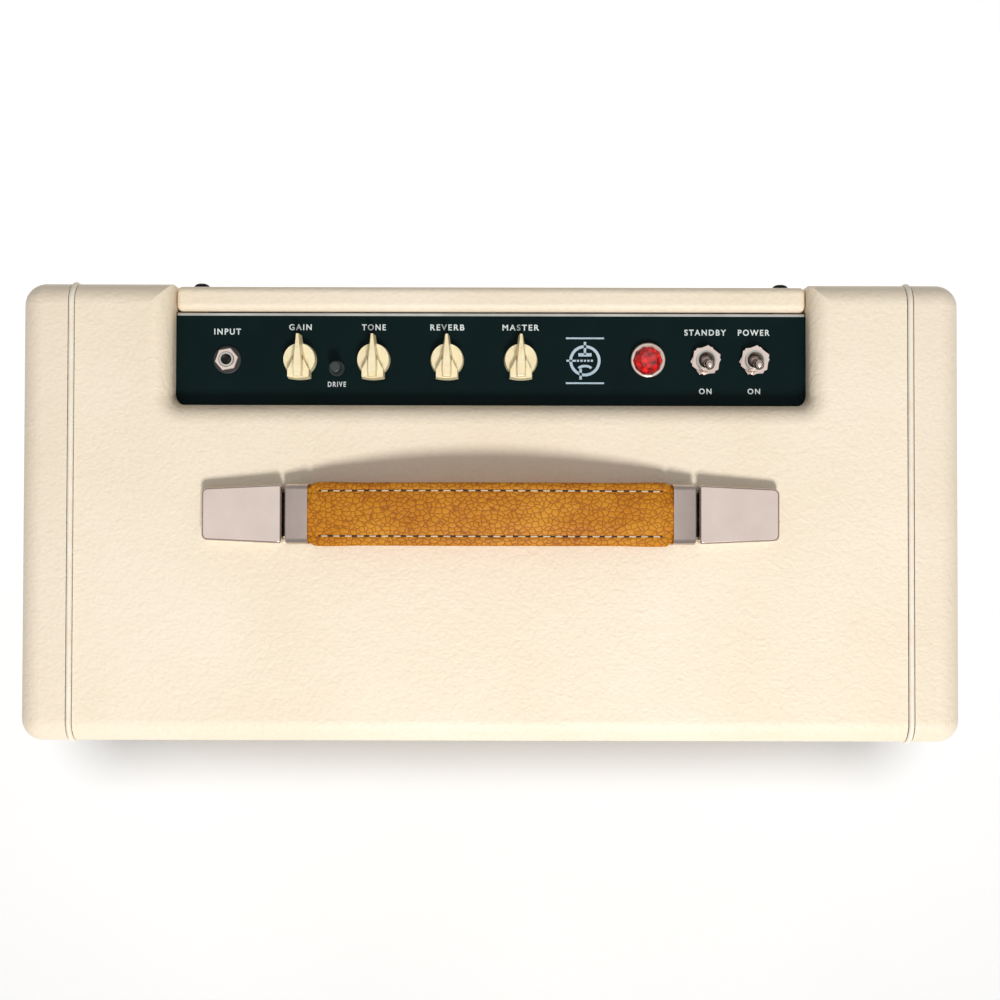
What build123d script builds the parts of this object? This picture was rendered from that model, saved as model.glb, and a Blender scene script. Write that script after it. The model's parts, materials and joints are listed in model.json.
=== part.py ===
"""Guitar amplifier head: a covered cabinet with its controls in a recess of the top, behind the handle.

Frame: millimetres, +Z up, front face towards -Y, origin on the floor under the centre of the cabinet.
"""

import os
from math import asin, cos, radians, sin, sqrt, tan

from build123d import *

os.makedirs("parts", exist_ok=True)

# ---- Cabinet ----
width = 559.0
depth = 273.0
body_height = 235.0
foot_height = 14.0
board = 18.0
rear_board = 14.0
skin = 1.0
edge_radius = 13.0

# ---- Control recess in the top, open to the rear ----
recess_half = 190.5
recess_front_y = 64.0
recess_edge_radius = 12.0
recess_corner_radius = 7.0

# ---- Window in the front board ----
window_width = 440.0
window_height = 140.0
window_corner = 45.0
window_edge = 6.0

# ---- Piping, a bead half sunk in a groove ----
piping_x = 248.8
piping_radius = 1.65
piping_sink = 0.3
groove_width = 4.2
groove_depth = 2.3

# ---- Removable rear panel ----
panel_half = 189.8
panel_top_drop = 16.0
opening_bottom_z = 60.0
panel_gap = 0.7
panel_edge = 3.0
socket_window = (306.0, 46.0)
socket_z = 196.0
vent_window = (250.0, 56.0)
vent_z = 110.0
panel_screw_x = 176.5

# ---- Chassis and faceplate ----
sheet = 1.5
plate = 2.0
chassis_half = 170.0
flange_half = 203.0
chassis_front_y = 8.0
chassis_height = 64.0
lip_half = 189.5
lip_gap = 1.2

# ---- Controls on the faceplate ----
control_y = 91.9
knob_pitch = 44.45
gain_x = -115.3
jack_x = -159.4
drive_x = -93.1
drive_y = 86.7
pilot_x = 94.8
standby_x = 129.7
power_x = 159.1
throw = 14.0
knob_radius = 10.15
knob_height = 15.2
shaft_radius = 3.175
running_gap = 0.05
bushing_radius = 4.7
toggle_bushing_radius = 5.95

# ---- Handle ----
handle_y = -1.5
cap_inner_x = 122.2
cap_outer_x = 169.5
cap_inner_width = 34.6
cap_outer_width = 30.5
cap_height = 12.0
cap_end_height = 8.5
cap_wall = 1.6
ferrule_x = 105.3
ferrule_length = 14.4
ferrule_width = 35.3
ferrule_thickness = 9.2
strap_width = 37.6
strap_neck_width = 33.2
strap_thickness = 7.0
strap_end_rise = 11.5
strap_arch = 15.0
strap_joint_x = 60.0
strap_joint_gap = 1.0
tongue_width = 26.0
tongue_thickness = 1.2
tongue_rise = 4.4
tongue_end_x = 141.0
tongue_slot = (127.0, 139.5)
cap_screw_x = (133.0, 159.0)
cap_screw_radius = 1.75

# ---- Levels and faces that follow ----
base_z = foot_height
top_z = foot_height + body_height
mid_z = (base_z + top_z) / 2
wall = board + skin
half_width = width / 2
half_depth = depth / 2
floor_z = base_z + wall
panel_z = top_z - wall
inner_x = half_width - wall
inner_front_y = wall - half_depth
frame_y = half_depth - skin - rear_board
plate_z = panel_z - plate
chassis_z = plate_z - chassis_height
chassis_rear_y = frame_y - lip_gap
knob_z = panel_z + 0.8
knob_x = {name: gain_x + knob_pitch * i for i, name in enumerate(("gain", "tone", "reverb", "master"))}
toggle_x = {"standby": standby_x, "power": power_x}


def write_part(builder, name):
    """Label a finished piece and write its STEP file."""
    builder.part.label = name
    export_step(builder.part, f"parts/{name}.step")


def block(x, y, z, mode=Mode.ADD):
    """A box between two limits along each axis."""
    with Locations(((x[0] + x[1]) / 2, (y[0] + y[1]) / 2, (z[0] + z[1]) / 2)):
        Box(x[1] - x[0], y[1] - y[0], z[1] - z[0], mode=mode)


def disc(x, y, z, radius, mode=Mode.ADD):
    """An upright cylinder between two levels."""
    with Locations((x, y, (z[0] + z[1]) / 2)):
        Cylinder(radius, z[1] - z[0], mode=mode)


def rod(x, y, z, radius, mode=Mode.ADD):
    """A cylinder along Y between two limits."""
    with Locations((x, (y[0] + y[1]) / 2, z)):
        Cylinder(radius, y[1] - y[0], rotation=(90, 0, 0), mode=mode)


# ---- Cabinet shape: inset 0 is the covered outside, and inset skin is the bare wood below it ----
def recess_space(inset):
    """What the control recess takes out of the top, its rolled edges included."""
    length = width + 100.0
    reach = half_depth + 60.0
    with BuildPart() as rim:
        block((-length / 2, length / 2), (0, reach), (panel_z, top_z - inset))
        block(
            (-recess_half - inset, recess_half + inset),
            (recess_front_y - inset, reach + 1),
            (panel_z - 1, top_z + 1),
            Mode.SUBTRACT,
        )
        corners = rim.edges().filter_by(Axis.Z).filter_by_position(Axis.Y, 1, recess_front_y + 1)
        fillet(corners, recess_corner_radius + inset)
        rolled = rim.edges().group_by(Axis.Z)[-1]
        rolled = rolled.filter_by_position(Axis.Y, recess_front_y - inset - 0.1, reach - 1)
        rolled = rolled.filter_by_position(Axis.X, -recess_half - inset - 0.1, recess_half + inset + 0.1)
        fillet(rolled, recess_edge_radius - inset)
    spread = recess_half + 2 * recess_edge_radius
    with BuildPart() as space:
        block((-spread, spread), (recess_front_y - 20, reach - 20), (panel_z, top_z - inset))
        add(rim.part, mode=Mode.SUBTRACT)
        block((-spread, spread), (recess_front_y - 20, reach - 20), (top_z - inset, top_z + 5))
    return space.part


def cabinet_shape(inset):
    """The solid outline of the cabinet, with its recess, front window and rear opening cut in."""
    front_y = inset - half_depth
    with BuildPart() as shape:
        block((inset - half_width, half_width - inset), (front_y, -front_y), (base_z + inset, top_z - inset))
        fillet(shape.edges(), edge_radius - inset)
        add(recess_space(inset), mode=Mode.SUBTRACT)
        with BuildSketch(Plane.XZ.offset(-front_y)):
            with Locations((0, mid_z)):
                RectangleRounded(window_width + 2 * inset, window_height + 2 * inset, window_corner + inset)
        extrude(amount=front_y - inner_front_y, mode=Mode.SUBTRACT)
        front_edges = shape.edges().group_by(Axis.Y)[0]
        rim = front_edges.filter_by_position(Axis.X, -window_width / 2 - 2, window_width / 2 + 2)
        rim = rim.filter_by_position(Axis.Z, mid_z - window_height / 2 - 2, mid_z + window_height / 2 + 2)
        fillet(rim, window_edge - inset)
        block(
            (-recess_half - inset, recess_half + inset),
            (frame_y, half_depth + 1),
            (opening_bottom_z - inset, panel_z + 1),
            Mode.SUBTRACT,
        )
    return shape.part


with BuildPart() as grooves:
    for side in (-1, 1):
        with BuildSketch(Plane.YZ.offset(side * piping_x)):
            with Locations((0, mid_z)):
                RectangleRounded(depth + 2, body_height + 2, edge_radius + 1)
                RectangleRounded(
                    depth - 2 * groove_depth,
                    body_height - 2 * groove_depth,
                    edge_radius - groove_depth,
                    mode=Mode.SUBTRACT,
                )
        extrude(amount=groove_width / 2, both=True)

covered_shape = cabinet_shape(0)
bare_shape = cabinet_shape(skin)

# Each board is the part of the bare shape inside its own limits.
full_x = (-half_width, half_width)
full_y = (-half_depth, half_depth)
side_z = (floor_z, panel_z)
post_foot_z = opening_bottom_z - skin
boards = {
    "top_board": [(full_x, full_y, (panel_z, top_z))],
    "bottom_board": [(full_x, full_y, (base_z, floor_z))],
    "side_boards": [((-half_width, -inner_x), full_y, side_z), ((inner_x, half_width), full_y, side_z)],
    "front_board": [((-inner_x, inner_x), (-half_depth, inner_front_y), side_z)],
    "rear_frame": [
        ((-inner_x, inner_x), (frame_y, half_depth), (floor_z, post_foot_z)),
        ((-inner_x, -recess_half), (frame_y, half_depth), (post_foot_z, panel_z)),
        ((recess_half, inner_x), (frame_y, half_depth), (post_foot_z, panel_z)),
    ],
}
foot_places = [(x, y) for x in (-225, 225) for y in (-95, 95)]
chassis_screw_places = [(x, y) for x in (-197.5, 197.5) for y in (25, 58, 90)]
cap_screw_places = [(side * x, handle_y) for side in (-1, 1) for x in cap_screw_x]
for name, limits in boards.items():
    with BuildPart() as wood:
        for x, y, z in limits:
            block(x, y, z)
        add(bare_shape, mode=Mode.INTERSECT)
        add(grooves.part, mode=Mode.SUBTRACT)
        if name == "top_board":
            for x, y in chassis_screw_places:
                disc(x, y, (panel_z, panel_z + 10), 2.0, Mode.SUBTRACT)
            for x, y in cap_screw_places:
                disc(x, y, (panel_z, top_z), cap_screw_radius, Mode.SUBTRACT)
        if name == "bottom_board":
            for x, y in foot_places:
                disc(x, y, (base_z, base_z + 14), 2.2, Mode.SUBTRACT)
    write_part(wood, name)

for name, limits in {
    "centre_covering": [(-piping_x, piping_x)],
    "side_coverings": [(-half_width, -piping_x), (piping_x, half_width)],
}.items():
    with BuildPart() as covering:
        for x in limits:
            block(x, full_y, (base_z, top_z))
        add(covered_shape, mode=Mode.INTERSECT)
        add(bare_shape, mode=Mode.SUBTRACT)
        add(grooves.part, mode=Mode.SUBTRACT)
        if name == "centre_covering":
            for x, y in foot_places:
                disc(x, y, (base_z, base_z + skin), 2.2, Mode.SUBTRACT)
            for x, y in cap_screw_places:
                disc(x, y, (top_z - skin, top_z), cap_screw_radius, Mode.SUBTRACT)
    write_part(covering, name)

with BuildPart() as piping:
    half_y = half_depth - piping_sink
    half_z = body_height / 2 - piping_sink
    for side in (-1, 1):
        with BuildLine(Plane.YZ.offset(side * piping_x)) as loop:
            FilletPolyline(
                (-half_y, mid_z - half_z),
                (half_y, mid_z - half_z),
                (half_y, mid_z + half_z),
                (-half_y, mid_z + half_z),
                radius=edge_radius - piping_sink,
                close=True,
            )
        with BuildSketch(Plane(origin=loop.line @ 0, z_dir=loop.line % 0)):
            Circle(piping_radius)
        sweep(path=loop.line)
write_part(piping, "piping")

# ---- Front window: cloth stretched behind the board, and a bead round the opening ----
cloth_margin = 14.0
cloth_thickness = 1.6
trim_radius = 2.4
with BuildPart() as grille_cloth:
    with BuildSketch(Plane.XZ.offset(-inner_front_y)):
        with Locations((0, mid_z)):
            RectangleRounded(
                window_width + 2 * cloth_margin,
                window_height + 2 * cloth_margin,
                window_corner + cloth_margin,
            )
    extrude(amount=-cloth_thickness)
write_part(grille_cloth, "grille_cloth")

with BuildPart() as grille_frame:
    with BuildSketch(Plane.XZ.offset(-inner_front_y - cloth_thickness)):
        with Locations((0, mid_z)):
            Rectangle(window_width + 60, window_height + 44)
            RectangleRounded(window_width - 8, window_height - 8, window_corner - 4, mode=Mode.SUBTRACT)
    extrude(amount=-9)
write_part(grille_frame, "grille_frame")

with BuildPart() as window_trim:
    trim_x = window_width / 2 - trim_radius
    trim_z = window_height / 2 - trim_radius
    with BuildLine(Plane.XZ.offset(-inner_front_y + trim_radius)) as loop:
        FilletPolyline(
            (-trim_x, mid_z - trim_z),
            (trim_x, mid_z - trim_z),
            (trim_x, mid_z + trim_z),
            (-trim_x, mid_z + trim_z),
            radius=window_corner - trim_radius,
            close=True,
        )
    with BuildSketch(Plane(origin=loop.line @ 0, z_dir=loop.line % 0)):
        Circle(trim_radius)
    sweep(path=loop.line)
write_part(window_trim, "window_trim")

# ---- Rear panel, its vent, and the battens that it is screwed to ----
batten = 18.0
batten_top_z = plate_z - sheet - 0.5
batten_inner_x = chassis_half + 1.5
panel_screw_places = [(side * panel_screw_x, z) for side in (-1, 1) for z in (82, 152, 222)]
with BuildPart() as battens:
    for side in (-1, 1):
        ends = sorted((side * batten_inner_x, side * (recess_half + batten)))
        block(ends, (frame_y - batten, frame_y), (floor_z, batten_top_z))
    for x, z in panel_screw_places:
        rod(x, (frame_y - 14, frame_y), z, 1.9, Mode.SUBTRACT)
write_part(battens, "battens")

with BuildPart() as rear_panel:
    block(
        (-panel_half, panel_half),
        (frame_y, half_depth),
        (opening_bottom_z + panel_gap, top_z - panel_top_drop),
    )
    fillet(rear_panel.edges().filter_by(Axis.X).group_by(Axis.Z)[-1], 4.5)
    fillet(rear_panel.edges().filter_by(Axis.Y), panel_edge)
    for size, z, corner in ((socket_window, socket_z, 10), (vent_window, vent_z, 12)):
        with BuildSketch(Plane.XZ.offset(-half_depth - 1)):
            with Locations((0, z)):
                RectangleRounded(size[0], size[1], corner)
        extrude(amount=rear_board + 4, mode=Mode.SUBTRACT)
    for x, z in panel_screw_places:
        rod(x, (frame_y, half_depth), z, 1.9, Mode.SUBTRACT)
write_part(rear_panel, "rear_panel")

vent_thickness = 1.2
with BuildPart() as rear_vent:
    with BuildSketch(Plane.XZ.offset(-frame_y)):
        with Locations((0, vent_z)):
            Rectangle(vent_window[0] + 20, vent_window[1] + 20)
            with GridLocations(12.5, 14.0, 20, 4):
                SlotOverall(11.0, 5.0, rotation=90, mode=Mode.SUBTRACT)
    extrude(amount=vent_thickness)
write_part(rear_vent, "rear_vent")

cup_radius = 5.4
with BuildPart() as panel_screws:
    for x, z in panel_screw_places:
        with BuildSketch(Plane(origin=(x, 0, z), x_dir=(1, 0, 0), z_dir=(0, 0, 1))):
            with BuildLine():
                Polyline(
                    (0, frame_y - 14),
                    (1.9, frame_y - 12),
                    (1.9, half_depth),
                    (cup_radius, half_depth),
                    (cup_radius - 1.4, half_depth + 2.0),
                    (2.6, half_depth + 2.7),
                    (0, half_depth + 3.0),
                    close=True,
                )
            make_face()
        revolve(axis=Axis((x, 0, z), (0, 1, 0)))
        for turn in (0, 90):
            with Locations(Location((x, half_depth + 2.9, z), (0, turn, 0))):
                Box(4.6, 2.6, 0.9, mode=Mode.SUBTRACT)
write_part(panel_screws, "panel_screws")

# ---- Feet ----
foot_radius = 19.0
with BuildPart() as feet:
    for x, y in foot_places:
        with Locations((x, y, 0)):
            Cone(foot_radius - 3, foot_radius, foot_height, align=(Align.CENTER, Align.CENTER, Align.MIN))
        disc(x, y, (0, 7.4), 8.5, Mode.SUBTRACT)
        disc(x, y, (7.4, foot_height), 2.2, Mode.SUBTRACT)
    fillet(feet.edges().group_by(Axis.Z)[0].filter_by(lambda e: e.radius > 10), 2.5)
write_part(feet, "feet")

with BuildPart() as foot_screws:
    for x, y in foot_places:
        disc(x, y, (6, 7.4), 8.0)
        disc(x, y, (3.4, 6), 4.4)
        disc(x, y, (7.4, base_z + 14), 2.2)
        block((x - 3.2, x + 3.2), (y - 0.5, y + 0.5), (3.2, 4.4), Mode.SUBTRACT)
write_part(foot_screws, "foot_screws")

# ---- Chassis: a folded steel box hung below the top, with its top sheet reaching out as a flange ----
octal_places = {"rectifier": (38.0, 78.0), "power": (-12.0, 78.0)}
noval_places = [(-136.0, 86.0), (-108.0, 60.0), (-136.0, 34.0)]
octal_hole = 14.5
noval_hole = 9.6
rear_jack_x = (-128.0, -92.0, -56.0, 4.0)
fuse_x = 52.0
inlet_x = 104.0
inlet_size = (28.0, 20.5)
jack_radius = 4.7
fuse_radius = 6.3
pilot_radius = 8.6
drive_radius = 3.9

with BuildPart() as chassis:
    block((-flange_half, flange_half), (chassis_front_y, chassis_rear_y), (plate_z - sheet, plate_z))
    block((-lip_half, lip_half), (chassis_rear_y - sheet, chassis_rear_y), (plate_z, panel_z))
    block((-chassis_half, chassis_half), (chassis_front_y, chassis_rear_y), (chassis_z, plate_z - sheet))
    block(
        (sheet - chassis_half, chassis_half - sheet),
        (chassis_front_y - 1, chassis_rear_y - sheet),
        (chassis_z + sheet, plate_z - sheet),
        Mode.SUBTRACT,
    )
    for x, y in chassis_screw_places:
        disc(x, y, (plate_z - sheet, plate_z), 2.0, Mode.SUBTRACT)
    for x in knob_x.values():
        disc(x, control_y, (plate_z - sheet, plate_z), bushing_radius, Mode.SUBTRACT)
    for x in toggle_x.values():
        disc(x, control_y, (plate_z - sheet, plate_z), toggle_bushing_radius, Mode.SUBTRACT)
    disc(jack_x, control_y, (plate_z - sheet, plate_z), jack_radius, Mode.SUBTRACT)
    disc(drive_x, drive_y, (plate_z - sheet, plate_z), drive_radius, Mode.SUBTRACT)
    disc(pilot_x, control_y, (plate_z - sheet, plate_z), pilot_radius, Mode.SUBTRACT)
    for x, y in octal_places.values():
        disc(x, y, (chassis_z, chassis_z + sheet), octal_hole, Mode.SUBTRACT)
    for x, y in noval_places:
        disc(x, y, (chassis_z, chassis_z + sheet), noval_hole, Mode.SUBTRACT)
    for x in rear_jack_x:
        rod(x, (chassis_rear_y - sheet, chassis_rear_y), socket_z, jack_radius, Mode.SUBTRACT)
    rod(fuse_x, (chassis_rear_y - sheet, chassis_rear_y), socket_z, fuse_radius, Mode.SUBTRACT)
    block(
        (inlet_x - inlet_size[0] / 2, inlet_x + inlet_size[0] / 2),
        (chassis_rear_y - sheet, chassis_rear_y),
        (socket_z - inlet_size[1] / 2, socket_z + inlet_size[1] / 2),
        Mode.SUBTRACT,
    )
write_part(chassis, "chassis")

cover_gauge = 1.0
with BuildPart() as chassis_cover:
    block(
        (-chassis_half, chassis_half),
        (chassis_front_y - cover_gauge, chassis_front_y),
        (chassis_z, plate_z),
    )
    with Locations(Location((0, chassis_front_y, (chassis_z + plate_z) / 2), (90, 0, 0))):
        with GridLocations(14.0, 10.0, 18, 3):
            Cylinder(2.5, 4 * cover_gauge, mode=Mode.SUBTRACT)
write_part(chassis_cover, "chassis_cover")

with BuildPart() as faceplate:
    block((-flange_half, flange_half), (chassis_front_y, chassis_rear_y - sheet), (plate_z, panel_z))
    for x, y in chassis_screw_places:
        disc(x, y, (plate_z, panel_z), 2.0, Mode.SUBTRACT)
    for x in knob_x.values():
        disc(x, control_y, (plate_z, panel_z), bushing_radius, Mode.SUBTRACT)
    for x in toggle_x.values():
        disc(x, control_y, (plate_z, panel_z), toggle_bushing_radius, Mode.SUBTRACT)
    disc(jack_x, control_y, (plate_z, panel_z), jack_radius, Mode.SUBTRACT)
    disc(drive_x, drive_y, (plate_z, panel_z), drive_radius, Mode.SUBTRACT)
    disc(pilot_x, control_y, (plate_z, panel_z), pilot_radius, Mode.SUBTRACT)
write_part(faceplate, "faceplate")

# ---- Tone controls: potentiometers, nuts, shafts and pointer knobs ----
pot_radius = 12.0
pot_depth = 12.0
bushing_top_z = panel_z + 4.4
pot_top_z = plate_z - sheet
shaft_foot_z = pot_top_z - 9.0
bore_radius = shaft_radius + running_gap
nut_height = 2.4
nut_flats = 12.7

with BuildPart() as potentiometers:
    for x in knob_x.values():
        disc(x, control_y, (pot_top_z - pot_depth, pot_top_z), pot_radius)
        disc(x, control_y, (pot_top_z, bushing_top_z), bushing_radius)
        block((x - 8, x + 8), (control_y - 20, control_y - 8), (pot_top_z - 9, pot_top_z - 7.5))
        disc(x, control_y, (shaft_foot_z, bushing_top_z), bore_radius, Mode.SUBTRACT)
        for lug in (-5, 0, 5):
            disc(x + lug, control_y - 17, (pot_top_z - 9, pot_top_z - 7.5), 1.0, Mode.SUBTRACT)
write_part(potentiometers, "potentiometers")


def hex_nut(x, y, z, flats, bore, turn=0.0):
    """A chamfered hexagon nut between two levels."""
    with BuildSketch(Plane.XY.offset(z[0])) as ring:
        with Locations((x, y)):
            RegularPolygon(flats / 2, 6, major_radius=False, rotation=turn)
            Circle(bore, mode=Mode.SUBTRACT)
    extrude(ring.sketch, amount=z[1] - z[0])


shaft_top_z = knob_z + knob_height - 3.0
socket_top_z = bushing_top_z + 0.8
skirt_height = 5.6
shoulder_height = 10.5


def ridge_outline(half_tip, half_waist, tail_y):
    """The plan of the knob's upright ridge, narrow at the tip and rounded at the tail."""
    with BuildLine() as outline:
        Spline((half_tip, 14.3), (half_waist * 0.62, 8.5), (half_waist, 1.0), (half_waist, tail_y))
        Line((half_waist, tail_y), (-half_waist, tail_y))
        Spline((-half_waist, tail_y), (-half_waist, 1.0), (-half_waist * 0.62, 8.5), (-half_tip, 14.3))
        Line((-half_tip, 14.3), (half_tip, 14.3))
    make_face(outline.edges())


def shoulder_outline(grow):
    """The plan of the knob's low shoulders, flared to a square tail with a slightly bowed end."""
    with BuildLine() as outline:
        Spline((2.6 + grow, 5.0), (4.0 + grow, -1.0), (6.9 + grow, -6.6))
        Line((6.9 + grow, -6.6), (6.9 + grow, -11.4 - grow))
        ThreePointArc((6.9 + grow, -11.4 - grow), (0, -12.3 - grow), (-6.9 - grow, -11.4 - grow))
        Line((-6.9 - grow, -11.4 - grow), (-6.9 - grow, -6.6))
        Spline((-6.9 - grow, -6.6), (-4.0 - grow, -1.0), (-2.6 - grow, 5.0))
        Line((-2.6 - grow, 5.0), (2.6 + grow, 5.0))
    make_face(outline.edges())


for name, x in knob_x.items():
    with BuildPart() as shaft:
        disc(x, control_y, (shaft_foot_z + 0.5, shaft_top_z), shaft_radius)
        chamfer(shaft.edges().group_by(Axis.Z)[-1], 0.5)
        block(
            (x - 0.5, x + 0.5),
            (control_y - 4, control_y + 4),
            (shaft_top_z - 5, shaft_top_z + 1),
            Mode.SUBTRACT,
        )
    write_part(shaft, f"{name}_shaft")

    with BuildPart() as knob:
        with BuildSketch(Plane(origin=(x, control_y, knob_z + skirt_height - 2))):
            ridge_outline(1.5, 3.9, -11.6)
        with BuildSketch(Plane(origin=(x, control_y, knob_z + knob_height))):
            ridge_outline(0.7, 2.0, -11.0)
        loft()
        fillet(knob.edges().group_by(Axis.Z)[-1], 0.6)
        with BuildSketch(Plane(origin=(x, control_y, knob_z + 1.0))):
            shoulder_outline(0.0)
        with BuildSketch(Plane(origin=(x, control_y, knob_z + shoulder_height))):
            shoulder_outline(-0.5)
        loft()
        with Locations((x, control_y, knob_z)):
            Cone(knob_radius, knob_radius - 0.7, skirt_height, align=(Align.CENTER, Align.CENTER, Align.MIN))
        disc(x, control_y, (knob_z - 1, socket_top_z), 8.4, Mode.SUBTRACT)
        disc(x, control_y, (socket_top_z - 1, shaft_top_z), shaft_radius, Mode.SUBTRACT)
        block(
            (x - 0.35, x + 0.35),
            (control_y + 6.0, control_y + 16.0),
            (knob_z + knob_height - 0.6, knob_z + knob_height + 1),
            Mode.SUBTRACT,
        )
    write_part(knob, f"{name}_knob")

# ---- Input jack ----
jack_bore = 3.3
jack_top_z = panel_z + 5.2
with BuildPart() as input_jack:
    disc(jack_x, control_y, (pot_top_z - 26, pot_top_z), 7.8)
    disc(jack_x, control_y, (pot_top_z, jack_top_z), jack_radius)
    chamfer(input_jack.edges().group_by(Axis.Z)[-1], 0.5)
    disc(jack_x, control_y, (pot_top_z - 25, jack_top_z + 1), jack_bore, Mode.SUBTRACT)
write_part(input_jack, "input_jack")

with BuildPart() as jack_washer:
    disc(jack_x, control_y, (panel_z, panel_z + 1.2), 8.5)
    fillet(jack_washer.edges().group_by(Axis.Z)[-1], 0.6)
    disc(jack_x, control_y, (panel_z, panel_z + 1.2), jack_radius, Mode.SUBTRACT)
write_part(jack_washer, "jack_washer")

# ---- Drive push switch ----
drive_travel = 2.0
button_radius = 3.45
stem_radius = 2.2
drive_top_z = panel_z + 6.0
collar_radius = 4.6
button_top_z = panel_z + 12.5
with BuildPart() as drive_switch:
    block((drive_x - 6, drive_x + 6), (drive_y - 6, drive_y + 6), (pot_top_z - 16, pot_top_z))
    disc(drive_x, drive_y, (pot_top_z, drive_top_z), drive_radius)
    disc(drive_x, drive_y, (pot_top_z - 12, drive_top_z), stem_radius + running_gap, Mode.SUBTRACT)
    disc(drive_x, drive_y, (panel_z, panel_z + 1.6), collar_radius)
    disc(drive_x, drive_y, (panel_z, panel_z + 1.6), stem_radius + running_gap, Mode.SUBTRACT)
    for lug in (-4, 0, 4):
        block(
            (drive_x + lug - 0.8, drive_x + lug + 0.8),
            (drive_y - 3, drive_y + 3),
            (pot_top_z - 20, pot_top_z - 16),
        )
write_part(drive_switch, "drive_switch")

with BuildPart() as drive_button:
    disc(drive_x, drive_y, (drive_top_z + drive_travel + 0.4, button_top_z), button_radius)
    fillet(drive_button.edges().group_by(Axis.Z)[-1], 1.0)
    disc(drive_x, drive_y, (pot_top_z - 9, drive_top_z + drive_travel + 0.4), stem_radius)
write_part(drive_button, "drive_button")

# ---- Pilot light ----
bezel_radius = 10.65
jewel_radius = 9.2
bezel_height = 4.2
facets = 10
with BuildPart() as pilot_bezel:
    disc(pilot_x, control_y, (panel_z, panel_z + bezel_height), bezel_radius)
    fillet(pilot_bezel.edges().group_by(Axis.Z)[-1], 1.1)
    disc(pilot_x, control_y, (pot_top_z - 24, panel_z), pilot_radius)
    disc(pilot_x, control_y, (pot_top_z - 22, panel_z + bezel_height + 1), pilot_radius - 1.0, Mode.SUBTRACT)
    disc(pilot_x, control_y, (panel_z + 1.6, panel_z + bezel_height + 1), jewel_radius, Mode.SUBTRACT)
write_part(pilot_bezel, "pilot_bezel")

with BuildPart() as pilot_jewel:
    for radius, low, high, top_radius in (
        (jewel_radius - 0.2, 1.6, 5.4, jewel_radius - 1.2),
        (jewel_radius - 1.2, 5.4, 8.0, jewel_radius - 4.2),
    ):
        with BuildSketch(Plane.XY.offset(panel_z + low)):
            with Locations((pilot_x, control_y)):
                RegularPolygon(radius, facets)
        with BuildSketch(Plane.XY.offset(panel_z + high)):
            with Locations((pilot_x, control_y)):
                RegularPolygon(top_radius, facets, rotation=180 / facets if high > 6 else 0)
        loft(ruled=True)
write_part(pilot_jewel, "pilot_jewel")

with BuildPart() as pilot_lamp:
    disc(pilot_x, control_y, (pot_top_z - 22, pot_top_z - 12), 4.4)
    disc(pilot_x, control_y, (pot_top_z - 12, pot_top_z - 2), 3.6)
    fillet(pilot_lamp.edges().group_by(Axis.Z)[-1], 3.2)
write_part(pilot_lamp, "pilot_lamp")

# ---- Toggle switches: both levers are thrown towards the front ----
pivot_z = panel_z + 1.5
collar_top_z = panel_z + 6.5
ball_radius = 3.6
lever_length = 20.5
with BuildPart() as toggle_switches:
    for x in toggle_x.values():
        block((x - 7.5, x + 7.5), (control_y - 14, control_y + 14), (pot_top_z - 22, pot_top_z))
        disc(x, control_y, (pot_top_z, collar_top_z), toggle_bushing_radius)
        disc(x, control_y, (pivot_z - ball_radius - 2, pivot_z + 1), ball_radius + running_gap, Mode.SUBTRACT)
        with Locations((x, control_y, pivot_z + 1)):
            Cone(
                ball_radius + running_gap,
                4.9,
                collar_top_z - pivot_z - 1,
                align=(Align.CENTER, Align.CENTER, Align.MIN),
                mode=Mode.SUBTRACT,
            )
        for lug in (-9, 0, 9):
            block(
                (x - 3, x + 3),
                (control_y + lug - 0.5, control_y + lug + 0.5),
                (pot_top_z - 29, pot_top_z - 22),
            )
write_part(toggle_switches, "toggle_switches")

with BuildPart() as toggle_nuts:
    for x in toggle_x.values():
        hex_nut(x, control_y, (panel_z, panel_z + 2.2), 15.9, toggle_bushing_radius, 5)
        hex_nut(x, control_y, (panel_z + 2.2, panel_z + 4.6), 15.9, toggle_bushing_radius, 22)
write_part(toggle_nuts, "toggle_nuts")

for name, x in toggle_x.items():
    lean_direction = (0, -sin(radians(throw)), cos(radians(throw)))
    lean = Plane(origin=(x, control_y, pivot_z), x_dir=(1, 0, 0), z_dir=lean_direction)
    with BuildPart() as lever:
        with BuildSketch(Plane(origin=lean.origin, x_dir=lean.x_dir, z_dir=-lean.y_dir)):
            with BuildLine():
                start = Line((0, -ball_radius), (0, lever_length))
                Spline(
                    (0, lever_length),
                    (2.2, lever_length - 0.9),
                    (3.0, lever_length - 3.2),
                    (2.5, lever_length - 9.0),
                    (1.75, 5.0),
                    (1.7, sqrt(ball_radius**2 - 1.7**2)),
                    tangents=((1, 0), (0, -1)),
                )
                ThreePointArc((1.7, sqrt(ball_radius**2 - 1.7**2)), (ball_radius, 0), (0, -ball_radius))
            make_face()
        revolve(axis=Axis(lean.origin, lean.z_dir))
    write_part(lever, f"{name}_lever")

# ---- Rear apron: jacks, fuse and mains inlet ----
apron_inner_y = chassis_rear_y - sheet
with BuildPart() as rear_jacks:
    for x in rear_jack_x:
        rod(x, (apron_inner_y - 24, apron_inner_y), socket_z, 7.8)
        rod(x, (apron_inner_y, chassis_rear_y + 5), socket_z, jack_radius)
        rod(x, (apron_inner_y - 22, chassis_rear_y + 6), socket_z, jack_bore, Mode.SUBTRACT)
write_part(rear_jacks, "rear_jacks")

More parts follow.
